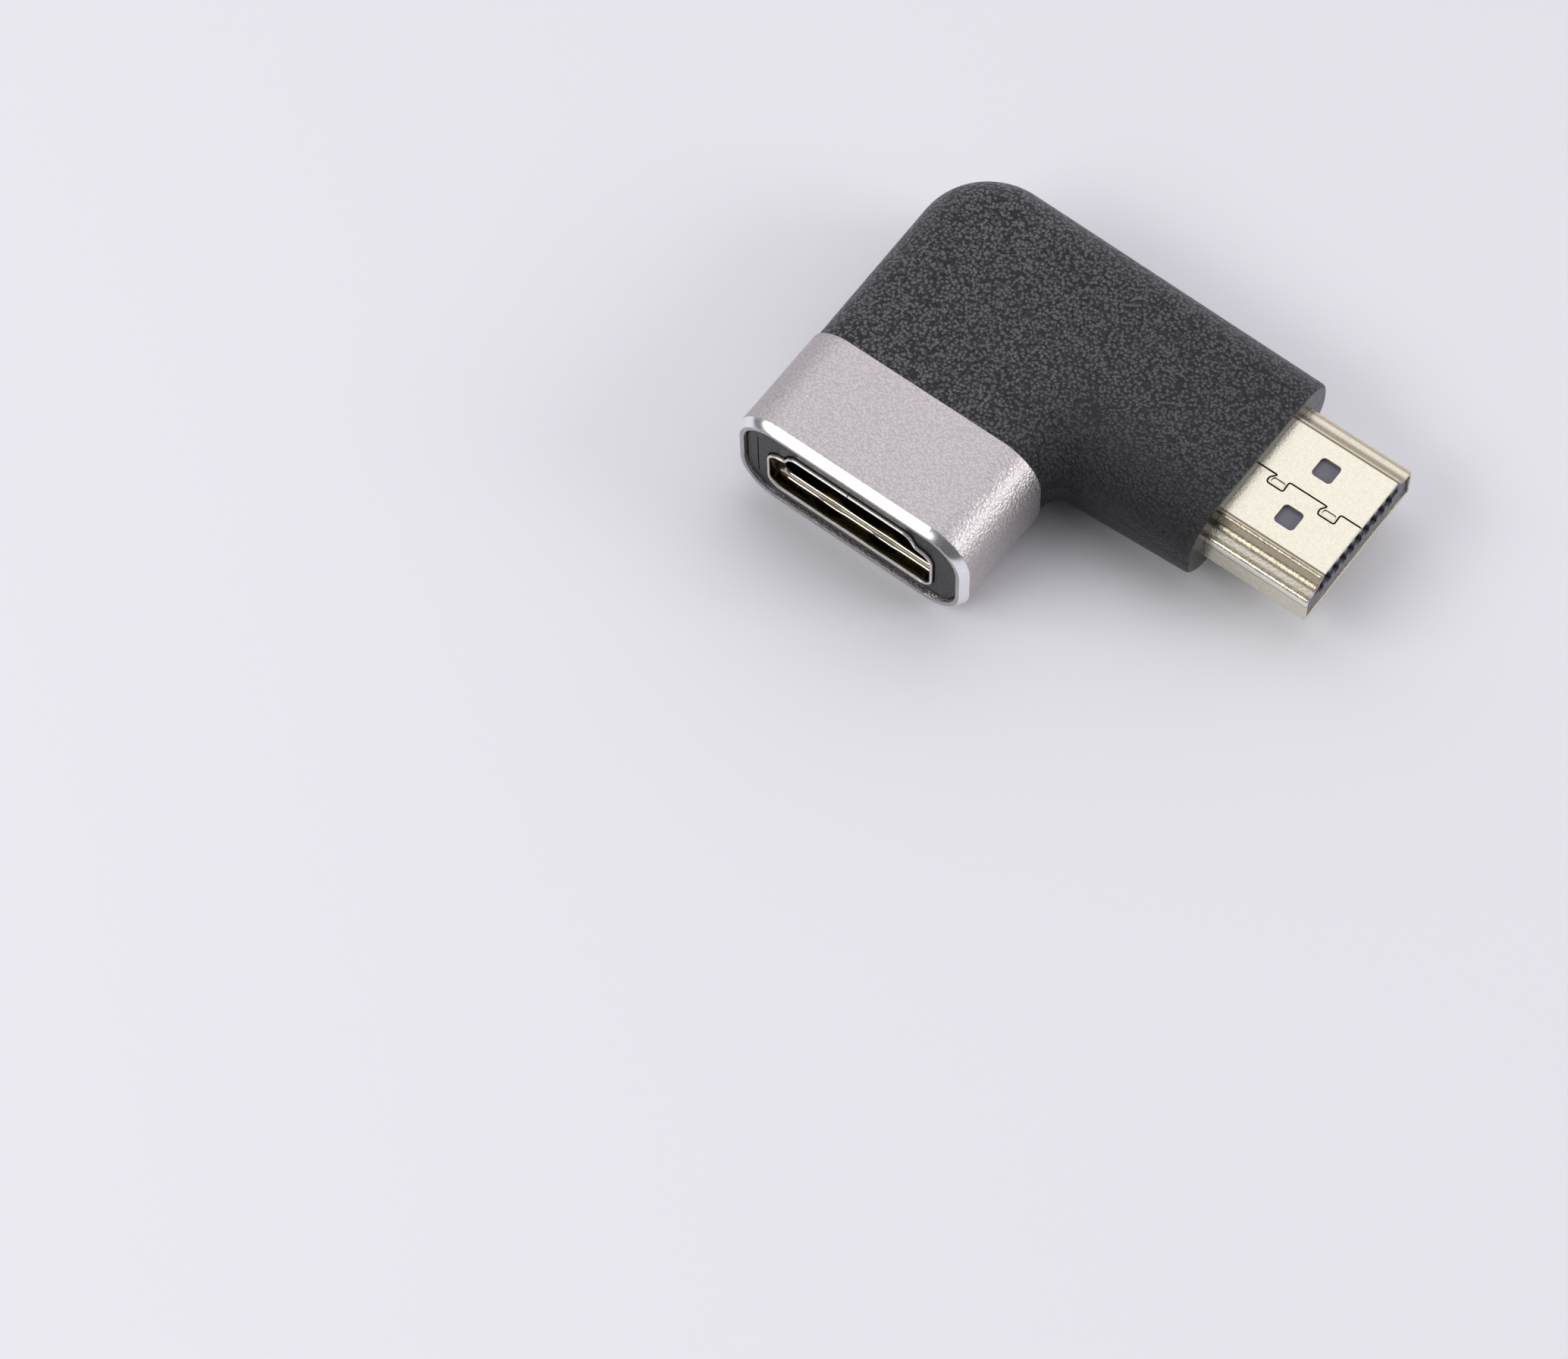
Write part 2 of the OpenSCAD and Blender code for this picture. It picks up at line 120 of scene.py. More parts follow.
def area_light(name, place, size, power):
    """White rectangular lamp aimed at the middle of the adapter."""
    data = bpy.data.lights.new(name, "AREA")
    data.shape = "RECTANGLE"
    data.size, data.size_y = size
    data.energy = power
    ob = bpy.data.objects.new(name, data)
    ob.location = place
    ob.rotation_euler = (Vector((0.01, 0, 0)) - Vector(place)).to_track_quat("-Z", "Y").to_euler()
    bpy.context.scene.collection.objects.link(ob)


surroundings()
area_light("overhead", (-0.12, 0.20, 0.46), (0.46, 0.46), 0.25)
area_light("left_light", (-0.25, -0.36, 0.36), (0.48, 0.24), 1.35)
area_light("right_light", (0.46, 0.21, 0.24), (0.24, 0.18), 0.7)
bpy.context.scene.view_settings.view_transform = "Standard"


# Floor
# A large pale painted sheet. The adapter rests on it with the underside of its socket arm.
def material(name, colour, metallic, roughness):
    """New node material. Returns it with its node tree and its shader."""
    m = bpy.data.materials.new(name)
    m.use_nodes = True
    m.diffuse_color = (*colour, 1)
    b = m.node_tree.nodes["Principled BSDF"]
    b.inputs["Base Color"].default_value = (*colour, 1)
    b.inputs["Metallic"].default_value = metallic
    b.inputs["Roughness"].default_value = roughness
    return m, m.node_tree, b


FLOOR_REACH = 2.0
me = bpy.data.meshes.new("floor")
me.from_pydata([(x * FLOOR_REACH, y * FLOOR_REACH, 0) for x, y in ((-1, -1), (1, -1), (1, 1), (-1, 1))], [],
               [(0, 1, 2, 3)])
me.materials.append(material("floor_paint", (0.84, 0.835, 0.865), 0, 0.6)[0])
floor = bpy.data.objects.new("floor", me)
bpy.context.scene.collection.objects.link(floor)


# Board, insulators and contacts
# A green laminate board carries both connectors. Each connector is a moulded insulator with gold-plated spring
# strips soldered to the board's faces. Their solids keep their shapes and get their materials here.
def object_coords(tree):
    """Object coordinates, so that a grain keeps its size on every piece."""
    return node(tree, "ShaderNodeTexCoord").outputs["Object"]


def new_group(name, inputs, outputs):
    """Empty node group with float inputs (name: default) and outputs (name: kind). Returns tree, input, output."""
    g = bpy.data.node_groups.new(name, "ShaderNodeTree")
    for k, v in inputs.items():
        g.interface.new_socket(name=k, in_out="INPUT", socket_type="NodeSocketFloat").default_value = v
    for k, v in outputs.items():
        g.interface.new_socket(name=k, in_out="OUTPUT", socket_type="NodeSocket" + v)
    return g, g.nodes.new("NodeGroupInput"), g.nodes.new("NodeGroupOutput")


def grain_group():
    """Grain of a moulded, blasted or plated surface, with cells and a finer noise sized in metres. Height =
    (1 - distance to the nearest warped cell) Cell Share + noise Fine Share. The noise also moves the roughness
    from Smooth to Rough, and the height bumps the normal by Depth."""
    g, gi, go = new_group("grain", {"Cell": 0.25 * MM, "Cell Share": 1.0, "Fine": 0.1 * MM, "Fine Share": 0.5,
                                    "Depth": 0.1 * MM, "Smooth": 0.3, "Rough": 0.5},
                          {"Normal": "Vector", "Roughness": "Float", "Height": "Float"})
    i = gi.outputs
    co = object_coords(g)
    inverse = math_node(g, "DIVIDE", 1.0, i["Cell"])
    warp = node(g, "ShaderNodeTexNoise", {"Vector": co, "Scale": math_node(g, "MULTIPLY", inverse, 0.6),
                                          "Detail": 2.0})
    reach = math_node(g, "MULTIPLY", i["Cell"], 0.9)
    moved = node(g, "ShaderNodeVectorMath", {0: warp.outputs["Color"], "Scale": reach}, operation="SCALE")
    place = node(g, "ShaderNodeVectorMath", {0: co, 1: moved.outputs[0]}, operation="ADD")
    cells = node(g, "ShaderNodeTexVoronoi", {"Vector": place.outputs[0], "Scale": inverse}, feature="F1")
    fine = node(g, "ShaderNodeTexNoise", {"Vector": co, "Scale": math_node(g, "DIVIDE", 1.0, i["Fine"]),
                                          "Detail": 3.0, "Roughness": 0.6}).outputs["Fac"]
    hills = math_node(g, "MULTIPLY", math_node(g, "SUBTRACT", 1.0, cells.outputs["Distance"]), i["Cell Share"])
    height = math_node(g, "ADD", hills, math_node(g, "MULTIPLY", fine, i["Fine Share"]))
    bump = node(g, "ShaderNodeBump", {"Height": height, "Strength": 1.0, "Distance": i["Depth"]})
    g.links.new(bump.outputs["Normal"], go.inputs["Normal"])
    g.links.new(ramp(g, fine, 0.3, 0.7, i["Smooth"], i["Rough"]), go.inputs["Roughness"])
    g.links.new(height, go.inputs["Height"])
    return g


GRAIN = grain_group()


def grained(name, colour, metallic, valley=1.0, hill=1.0, **inputs):
    """Material whose roughness and normal come from the grain group with the given inputs. The colour is scaled
    by valley in the low parts of the grain and by hill on its tops. Returns it with its tree and shader."""
    m, t, b = material(name, colour, metallic, 0.4)
    g = node(t, "ShaderNodeGroup", {k.replace("_", " "): v for k, v in inputs.items()}, node_tree=GRAIN).outputs
    t.links.new(g["Normal"], b.inputs["Normal"])
    t.links.new(g["Roughness"], b.inputs["Roughness"])
    if (valley, hill) != (1.0, 1.0):
        middle = inputs.get("Cell_Share", 1.0) * 0.6 + inputs.get("Fine_Share", 0.5) * 0.5
        level = ramp(t, g["Height"], middle - 0.32, middle + 0.32, valley, hill, "SMOOTHSTEP")
        scaled = node(t, "ShaderNodeVectorMath", {0: colour, "Scale": level}, operation="SCALE")
        t.links.new(scaled.outputs[0], b.inputs["Base Color"])
    return m, t, b


board_green = grained("board", (0.03, 0.16, 0.08), 0, Depth=0.005 * MM)[0]
insulator_plastic = grained("insulator_plastic", (0.14, 0.135, 0.165), 0, Depth=0.02 * MM, Smooth=0.4,
                            Rough=0.6)[0]
tongue_plastic = grained("tongue_plastic", (0.012, 0.012, 0.012), 0, Depth=0.03 * MM, Smooth=0.4, Rough=0.6)[0]
contact_gold = grained("contact_gold", (0.86, 0.62, 0.25), 1, Depth=0.002 * MM, Smooth=0.2, Rough=0.3)[0]
finishes = {"circuit_board": board_green, "plug_insulator": insulator_plastic, "socket_insulator": tongue_plastic}
for name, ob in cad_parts.items():
    finish = contact_gold if "_contact_" in name else finishes.get(name)
    if finish:
        ob.data.materials.clear()
        ob.data.materials.append(finish)


# Plug shell
# One sheet of steel, 0.3 mm thick and plated champagne gold, bent round the insulator to a butt seam on its
# narrow flat. Two dovetail tabs lock the seam, with a stamp in each, and two latch holes show the insulator.
PLUG_RISE = 2.225 * MM       # half of the shell's height
PLUG_FLAT = MID + PLUG_RISE
# centre across and up and radius in mm, first and last angle and steps of each bend, from the wide flat up
PLUG_BENDS = [(6.45, 0.5, 0.5, -90, 0, 5),            # into the side wall
              (6.5, 2.82, 0.45, 0, 78, 5),            # shoulder
              (6.265, 4.31, 0.95, -100, -146, 6),     # hollow
              (4.9, 4.05, 0.4, 28, 90, 5)]            # onto the narrow flat
# outset from the outline and place along the plug in mm: out from the root, round the nose's edge, back inside
PLUG_WALL = [(0, 17.6), (0, 31.63), (-0.03, 31.72), (-0.09, 31.75), (-0.21, 31.75), (-0.28, 31.72),
             (-0.30, 31.66), (-0.30, 17.6)]
# corners of the seam in mm from the root to past the nose, measured from the nose
SEAM = [(-9.6, 0), (-7.52, 0), (-7.98, -0.48), (-7.92, -0.95), (-6.44, -0.95), (-6.50, 0), (-3.02, 0),
        (-3.42, -0.48), (-3.34, -0.95), (-1.84, -0.95), (-1.88, 0), (0.6, 0)]
SEAM_R, SEAM_WIDTH = 0.22 * MM, 0.085 * MM
TABS = (-7.15, -2.57)        # middle of each tab's stamp in mm, measured from the nose
TAB_Y = -0.53 * MM
LATCH_X, LATCH_Y = -4.85 * MM, 2.45 * MM


def arc(cx, cy, r, a0, a1, n):
    """n + 1 points (cx + r cos a, cy + r sin a) for a from a0 to a1 degrees."""
    a = np.radians(np.linspace(a0, a1, n + 1))
    return np.stack([cx + r * np.cos(a), cy + r * np.sin(a)], axis=1)


def plug_profile(n=1):
    """Closed outline of the shell seen from its nose, narrow flat up, about the middle of its height: the bends
    of the right side, each an arc of n times its steps, then the same mirrored."""
    right = np.concatenate([arc(cx * MM, cy * MM, r * MM, a0, a1, k * n) for cx, cy, r, a0, a1, k in PLUG_BENDS])
    return np.concatenate([right, (right * (-1, 1))[::-1]]) - (0, PLUG_RISE)


def outset(p, d):
    """Closed anticlockwise outline p moved outwards by d with mitred corners: p + d (n1 + n2) / (1 + n1.n2),
    where n1 and n2 are the normals of the two sides that meet at p."""
    e = np.roll(p, -1, 0) - p
    e /= np.linalg.norm(e, axis=1)[:, None]
    n2 = np.stack([e[:, 1], -e[:, 0]], axis=1)
    n1 = np.roll(n2, 1, 0)
    return p + d * (n1 + n2) / (1 + (n1 * n2).sum(1))[:, None]


def rounded_rect(w, h, r, n):
    """Closed anticlockwise rounded rectangle about the origin: four arcs of radius r, n + 1 points each."""
    corners = [(1, -1, -90), (1, 1, 0), (-1, 1, 90), (-1, -1, 180)]
    return np.concatenate([arc(sx * (w / 2 - r), sy * (h / 2 - r), r, a, a + 90, n) for sx, sy, a in corners])


def round_path(points, r, n):
    """Open path with each corner b replaced by the curve (1 - t)^2 p + 2 t (1 - t) b + t^2 q, where p and q lie r
    before and after b, or a little less than half way along a shorter side."""
    p = np.array(points, float)
    b, before, after = p[1:-1], p[:-2] - p[1:-1], p[2:] - p[1:-1]
    la, lc = np.linalg.norm(before, axis=1)[:, None], np.linalg.norm(after, axis=1)[:, None]
    k = np.minimum(r, np.minimum(la, lc) / 2.1)
    t = np.linspace(0, 1, n + 1)[:, None, None]
    curves = (1 - t) ** 2 * (b + before / la * k) + 2 * t * (1 - t) * b + t * t * (b + after / lc * k)
    return np.concatenate([p[:1], curves.transpose(1, 0, 2).reshape(-1, 2), p[-1:]])


def ribbon(p, width):
    """Closed outline of a thin ribbon along the path p: p - n width / 2, then back along p + n width / 2."""
    t = np.gradient(p, axis=0)
    t /= np.linalg.norm(t, axis=1)[:, None]
    side = np.stack([-t[:, 1], t[:, 0]], 1) * width / 2
    return np.concatenate([p - side, (p + side)[::-1]])


def rings_mesh(bm, rings, closed=False):
    """Adds the grid of quads between rings [k, n, 3] to bm: corner (i, j) joins (i, j + 1) round its ring and
    (i + 1, j) of the next. Anticlockwise rings that go up their axis face outwards. With closed, the last ring
    joins the first. Returns the rings' vertices."""
    rings = np.array(rings)
    k, n = rings.shape[:2]
    a = np.arange(k * n).reshape(k, n)
    b = np.roll(a, -1, 0)
    if not closed:
        a, b = a[:-1], b[:-1]
    quads = np.stack([a, np.roll(a, -1, 1), np.roll(b, -1, 1), b], axis=2).reshape(-1, 4)
    me = bpy.data.meshes.new("rings")
    me.from_pydata(rings.reshape(-1, 3).tolist(), [], quads.tolist())
    first = len(bm.verts)
    bm.from_mesh(me)
    bpy.data.meshes.remove(me)
    bm.verts.ensure_lookup_table()
    return [bm.verts[first + i * n:first + (i + 1) * n] for i in range(k)]


def prism(outline, lo, hi, axis):
    """Closed prism of an anticlockwise outline from lo to hi along the axis. X takes (y, z) and Y takes (x, z),
    with z measured from the connectors' axes, and Z takes (x, y)."""
    u, v, one = outline[:, 0], outline[:, 1], np.ones(len(outline))
    along = {"X": lambda h: (h * one, u, MID + v), "Y": lambda h: (u, h * one, MID + v),
             "Z": lambda h: (u, v, h * one)}[axis]
    bm = bmesh.new()
    bottom, top = rings_mesh(bm, [np.column_stack(along(h)) for h in (lo, hi)])
    bm.faces.new(bottom[::-1])
    bm.faces.new(top)
    return bm


def cut(bm, cutters):
    """bm minus each of the closed cutters."""
    obs = []
    for k, b in enumerate([bm] + cutters):
        bmesh.ops.recalc_face_normals(b, faces=b.faces)
        me = bpy.data.meshes.new(f"cut{k}")
        b.to_mesh(me)
        b.free()
        obs.append(bpy.data.objects.new(f"cut{k}", me))
        bpy.context.scene.collection.objects.link(obs[-1])
    for c in obs[1:]:
        m = obs[0].modifiers.new("cut", "BOOLEAN")
        m.object, m.solver, m.operation = c, "EXACT", "DIFFERENCE"
    made = bpy.data.meshes.new_from_object(obs[0].evaluated_get(bpy.context.evaluated_depsgraph_get()))
    out = bmesh.new()
    out.from_mesh(made)
    bpy.data.meshes.remove(made)
    for o in obs:
        bpy.data.meshes.remove(o.data)
    return out


def finish_piece(name, bm, materials, replaced, sharp=35):
    """Makes the piece from bm with outward normals and smooth shading up to the sharp angle in degrees. It rides
    on the only body and stands for the solid that it replaces."""
    bmesh.ops.recalc_face_normals(bm, faces=bm.faces)
    for f in bm.faces:
        f.smooth = True
    for e in bm.edges:
        e.smooth = len(e.link_faces) != 2 or e.calc_face_angle(0) < math.radians(sharp)
    me = bpy.data.meshes.new(name)
    bm.to_mesh(me)
    bm.free()
    ob = bpy.data.objects.new(name, me)
    bpy.context.scene.collection.objects.link(ob)
    for m in materials:
        me.materials.append(m)
    ob.modifiers.new("normals", "WEIGHTED_NORMAL").keep_sharp = True
    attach(ob, "root")
    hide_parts(replaced)


def band_group():
    """1 where Value lies within Half Width of Centre, easing to 0 over Softness."""
    g, gi, go = new_group("band", {"Value": 0.0, "Centre": 0.0, "Half Width": 0.1 * MM, "Softness": 0.1 * MM},
                          {"Mask": "Float"})
    i = gi.outputs
    away = math_node(g, "ABSOLUTE", math_node(g, "SUBTRACT", i["Value"], i["Centre"]))
    end = math_node(g, "ADD", i["Half Width"], i["Softness"])
    g.links.new(ramp(g, away, i["Half Width"], end, 1.0, 0.0, "SMOOTHSTEP"), go.inputs["Mask"])
    return g


BAND = band_group()


def axes(t):
    """X, Y and Z of the object coordinates."""
    return node(t, "ShaderNodeSeparateXYZ", {0: object_coords(t)}).outputs


def band(t, value, centre, half, soft):
    """The band group's mask for a value, with centre, half width and softness in mm."""
    return node(t, "ShaderNodeGroup", {"Value": value, "Centre": centre * MM, "Half Width": half * MM,
                                       "Softness": soft * MM}, node_tree=BAND).outputs["Mask"]


def tint(t, b, mask, amount, colour):
    """Base colour mixed with colour by mask times amount."""
    old = b.inputs["Base Color"]
    base = old.links[0].from_socket if old.links else tuple(old.default_value)
    mix = node(t, "ShaderNodeMix", {0: math_node(t, "MULTIPLY", mask, amount), 6: base, 7: (*colour, 1)},
               data_type="RGBA")
    t.links.new(mix.outputs[2], old)


def champagne_plate():
    """Pale gold plating. On its upper half it is brown in the hollows and along the slope and dark on the bend
    onto the narrow flat. Along the side walls a painted highlight runs as a bright line above a painted dark
    reflection as a brown line."""
    m, t, b = grained("champagne_plate", (0.78, 0.74, 0.61), 1, 0.92, 1.06, Cell=0.22 * MM, Cell_Share=0.5,
                      Fine=0.15 * MM, Depth=0.02 * MM, Smooth=0.24, Rough=0.36)
    xyz = axes(t)
    side = math_node(t, "ABSOLUTE", xyz["Y"])
    above = ramp(t, xyz["Z"], MID + 0.4 * MM, MID + 0.6 * MM)
    for centre, half, soft, amount, colour in ((5.45, 0.3, 0.42, 0.85, (0.48, 0.41, 0.285)),
                                               (6.55, 0.06, 0.12, 0.8, (0.40, 0.32, 0.20)),
                                               (4.82, 0.06, 0.05, 0.9, (0.14, 0.11, 0.075))):
        tint(t, b, math_node(t, "MULTIPLY", band(t, side, centre, half, soft), above), amount, colour)
    mid = MID / MM
    # Painted highlight along the top of the side walls, then a painted dark reflection as a brown line below it.
    tint(t, b, band(t, xyz["Z"], mid + 0.52, 0.22, 0.08), 0.8, (0.98, 0.94, 0.84))
    tint(t, b, band(t, xyz["Z"], mid + 0.2, 0.03, 0.07), 0.75, (0.28, 0.2, 0.12))
    return m


def plug_shell():
    """The outline carried along PLUG_WALL as a closed wall, minus the seam, the stamps and the latch holes. The
    edges of the cuts on the flat are broken, and the seam's faces are shaded."""
    rings = []
    for d, x in PLUG_WALL:
        p = outset(plug_profile(2), d * MM)
        rings.append(np.column_stack([np.full(len(p), x * MM), p[:, 0], MID + p[:, 1]]))
    bm = bmesh.new()
    rings_mesh(bm, rings, closed=True)
    seam = round_path(np.array(SEAM) * MM + (NOSE_X, 0), SEAM_R, 6)
    cutters = [prism(ribbon(seam, SEAM_WIDTH), MID + MM, MID + 3 * MM, "Z")]
    for x in TABS:
        stamp = rounded_rect(1.1 * MM, 0.5 * MM, 0.2 * MM, 5) + (NOSE_X + x * MM, TAB_Y)
        cutters.append(prism(stamp, PLUG_FLAT - 0.1 * MM, MID + 3 * MM, "Z"))
    for sy in (-1, 1):
        hole = rounded_rect(1.75 * MM, 1.75 * MM, 0.35 * MM, 5) + (NOSE_X + LATCH_X, sy * LATCH_Y)
        cutters.append(prism(hole, MID + MM, MID + 3 * MM, "Z"))
    bm = cut(bm, cutters)
    bm.normal_update()
    rim = [e for e in bm.edges if len(e.link_faces) == 2 and all(abs(v.co.z - PLUG_FLAT) < 1e-6 for v in e.verts)
           and min(f.normal.z for f in e.link_faces) < 0.3 and max(f.normal.z for f in e.link_faces) > 0.9]
    bmesh.ops.bevel(bm, geom=rim, offset=0.03 * MM, segments=2, profile=0.5, affect="EDGES")
    bm.normal_update()
    for f in bm.faces:
        c = f.calc_center_median()
        on_seam = c.z > MID + 1.9 * MM and -1.1 * MM < c.y < 0.1 * MM and c.x < NOSE_X - 0.1 * MM
        f.material_index = 1 if on_seam and f.normal.z < 0.97 else 0
    seam_shade = grained("seam_shade", (0.13, 0.105, 0.07), 1, Depth=0.0, Smooth=0.35, Rough=0.45)[0]
    finish_piece("plug_sheet", bm, [champagne_plate(), seam_shade], "plug_shell")


plug_shell()


# Socket shell
# A sheet metal tube of the plug's outline, silver at the lip that it flares out to and gold inside, with painted
# shade making the inside dark brown. It has a butt seam on its narrow flat, and two spring fingers a side that bow
# into the opening.
MOUTH_Y = -21.0 * MM     # sleeve's mouth
SOCKET_BACK = -9.5 * MM
FINGER_X = 2.55 * MM
# outset from the plug's outline and depth behind the mouth in mm: over the lip from outside, then in past the
# step. None is the back end.
LIP = [(0.35, None), (0.35, 1.80), (0.40, 1.70), (0.68, 1.46), (0.74, 1.34), (0.75, 1.2), (0.75, 0.06),
       (0.73, 0.02), (0.70, 0.0), (0.60, 0.0), (0.55, 0.02), (0.53, 0.06), (0.52, 0.5), (0.50, 0.8), (0.49, 1.0),
       (0.46, 1.08), (0.40, 1.16), (0.30, 1.23), (0.18, 1.29), (0.10, 1.36), (0.06, 1.46), (0.05, 1.60),
       (0.05, 2.6), (0.05, 3.6), (0.05, 4.6), (0.05, 5.6), (0.05, 6.4), (0.05, None)]


def dense(p, step):
    """Closed outline with each side a to b divided evenly: a + (b - a) i / k, with k = side / step rounded up."""
    side = np.roll(p, -1, 0) - p
    k = np.maximum(1, np.ceil(np.linalg.norm(side, axis=1) / step)).astype(int)
    i = np.arange(k.sum()) - np.repeat(np.cumsum(k) - k, k)
    return np.repeat(p, k, 0) + np.repeat(side, k, 0) * i[:, None] / np.repeat(k, k)[:, None]


def along_y(outline, y):
    """Outline (x, z) about the connectors' axes, stood at y."""
    return np.column_stack([outline[:, 0], np.full(len(outline), y), MID + outline[:, 1]])


def socket_plate():
    """Polished sheet: silver to 0.1 mm behind the mouth, gold inside made dark brown by painted shade, with a
    painted highlight as a cream line on the step.
    """
    m, t, b = grained("socket_plate", (0.88, 0.86, 0.83), 1, Cell_Share=0.0, Fine=0.2 * MM, Depth=0.004 * MM,
                      Smooth=0.12, Rough=0.24)
    y = axes(t)["Y"]
    # Painted shade inside the shell, and a painted highlight as a cream line on the step.
    tint(t, b, ramp(t, y, MOUTH_Y + 0.1 * MM, MOUTH_Y + 0.25 * MM), 1.0, (0.12, 0.095, 0.05))
    tint(t, b, band(t, y, MOUTH_Y / MM + 1.25, 0.12, 0.1), 1.0, (0.62, 0.56, 0.44))
    return m


def socket_shell():
    """Rings at (outset, depth) of LIP, moved inwards on the flats by s (bow - dent), where s eases from 1 over a
    finger to 0 beside it, bow = 0.25 sin^2 along the finger and dent = 0.16 exp(-((depth - 1.15) / 0.35)^2)."""
    outline = dense(plug_profile(), 0.35 * MM)
    flat = np.sign(outline[:, 1]) * (np.abs(outline[:, 1]) > 2.1 * MM)
    rings = []
    for d, depth in LIP:
        ring = along_y(outset(outline, d * MM), SOCKET_BACK if depth is None else MOUTH_Y + depth * MM)
        if depth is not None:
            bow = 0.25 * math.sin(np.clip((depth - 1.6) / 4.6, 0, 1) * math.pi) ** 2
            dent = 0.16 * math.exp(-((depth - 1.15) / 0.35) ** 2) * (d < 0.6)
            for cx in (-FINGER_X, FINGER_X):
                s = np.clip(1.4 - np.abs(outline[:, 0] - cx) / MM, 0, 1)
                ring[:, 2] -= flat * s * s * (3 - 2 * s) * (bow - dent) * MM
        rings.append(ring)
    bm = bmesh.new()
    rings_mesh(bm, rings, closed=True)
    slit = rounded_rect(0.08 * MM, 1.6 * MM, 0.03 * MM, 2) + (-0.15 * MM, 3.0 * MM)
    bm = cut(bm, [prism(slit, MOUTH_Y - MM, MOUTH_Y + 2.6 * MM, "Y")])
    finish_piece("socket_lip", bm, [socket_plate()], "socket_shell")


socket_shell()


# Socket nose
# A dark grey moulded block that fills the sleeve around the socket shell, slightly set back. It has a shallow
# groove near its left end and a short recess at the right, and pale dust is rubbed off along its upper edge.
SEAM_Y = -11.3 * MM      # housing against sleeve
NOSE_Y = MOUTH_Y + 0.3 * MM


def nose_plastic():
    """Dark grey, mixed with a pale dust where a fine noise is high within a band along the upper edge."""
    m, t, b = grained("nose_plastic", (0.022, 0.022, 0.025), 0, Cell_Share=0.3, Fine=0.2 * MM, Depth=0.015 * MM,
                      Smooth=0.3, Rough=0.5)
    dust = node(t, "ShaderNodeTexNoise", {"Vector": object_coords(t), "Scale": 1 / (0.22 * MM), "Detail": 4.0,
                                          "Roughness": 0.7}).outputs["Fac"]
    edge = band(t, axes(t)["Z"], MID / MM + 4.2, 0.1, 0.75)
    tint(t, b, math_node(t, "MULTIPLY", ramp(t, dust, 0.5, 0.66), edge), 0.5, (0.42, 0.36, 0.34))
    return m


def fill_plane(bm, y):
    """Fills the flat region between the open loops of edges in the plane at y with triangles."""
    edges = [e for e in bm.edges if e.is_boundary and all(abs(v.co.y - y) < 1e-7 for v in e.verts)]
    bmesh.ops.triangle_fill(bm, edges=edges, use_beauty=True)


def nose():
    """Rounded rectangles carried from the seam to the front, rounded over its edge, and the plug's outline
    carried back from the front through it, each at an (inset or outset in mm, y) of its path."""
    w, h, r = 19.62 * MM, 8.62 * MM, 2.81 * MM
    outside = [(0, SEAM_Y), (0, NOSE_Y + 0.25 * MM), (0.04, NOSE_Y + 0.1 * MM), (0.12, NOSE_Y + 0.02 * MM),
               (0.22, NOSE_Y)]
    opening = [(0.84, NOSE_Y), (0.84, MOUTH_Y + 1.5 * MM), (0.40, MOUTH_Y + 1.95 * MM), (0.40, SEAM_Y)]
    bm = bmesh.new()
    rings_mesh(bm, [along_y(rounded_rect(w - 2 * i * MM, h - 2 * i * MM, r - i * MM, 16), y) for i, y in outside])
    rings_mesh(bm, [along_y(outset(plug_profile(), d * MM), y) for d, y in opening])
    fill_plane(bm, NOSE_Y)
    fill_plane(bm, SEAM_Y)
    groove = rounded_rect(0.1 * MM, 5.0 * MM, 0.049 * MM, 4) + (-8.72 * MM, 0.0)
    recess = rounded_rect(1.5 * MM, 0.16 * MM, 0.079 * MM, 4) + (7.6 * MM, -3.72 * MM)
    bm = cut(bm, [prism(groove, MOUTH_Y, NOSE_Y + 0.12 * MM, "Y"),
                  prism(recess, MOUTH_Y, NOSE_Y + 0.15 * MM, "Y")])
    finish_piece("nose", bm, [nose_plastic()], "socket_nose")


nose()


# Housing
# Two halves moulded in black plastic with a leather grain, joined on the middle plane. The long edges are
# rounded, a fillet in the inner corner fades into a crease on the top, and the end face at the plug is smooth.
END_X = 22.6 * MM        # end face at the plug
BACK_Y = 9.06 * MM
LEFT_X = -10.64 * MM
HALF_ARM = 9.2 * MM      # plug arm
HALF_SOCKET = 10.4 * MM  # socket arm
EDGE_R = 3.2 * MM
CORNER_R = 6.2 * MM
FILLET_R = 1.8 * MM
END_HEIGHT = 3.65 * MM   # above and below the axis at the end face
TOP_HEIGHT, TOP_SLOPE = 4.4468 * MM, -0.02683
KNEE_X, KNEE_SOFT = 7.0 * MM, 0.6 * MM
PLAY = 0.04 * MM         # between the housing and what it holds


def black_plastic(name, colour, depth):
    """Leather grain, its tops painted grey as painted glints and its valleys dark as painted shade. Painted shade
    darkens it along the plug arm, and most where that arm's near side meets the inner corner."""
    # valley 0.1 and hill 3.0 paint the glints on the grain's tops and the shade in its valleys.
    m, t, b = grained(name, colour, 0, 0.1, 3.0, Cell=0.28 * MM, Fine=0.17 * MM, Fine_Share=1.0, Smooth=0.3,
                      Rough=0.45, Depth=depth)
    xyz = axes(t)
    # Painted shade: darker towards the plug's end, and darkest where the plug arm's near side meets the inner
    # corner.
    tint(t, b, ramp(t, xyz["X"], -4 * MM, 22 * MM), 0.35, (0.012, 0.012, 0.014))
    right = ramp(t, xyz["X"], 5 * MM, 12 * MM, kind="SMOOTHSTEP")
    near = ramp(t, xyz["Y"], -1 * MM, -8.5 * MM, kind="SMOOTHSTEP")
    tint(t, b, math_node(t, "MULTIPLY", right, near), 0.8, (0.006, 0.006, 0.007))
    return m


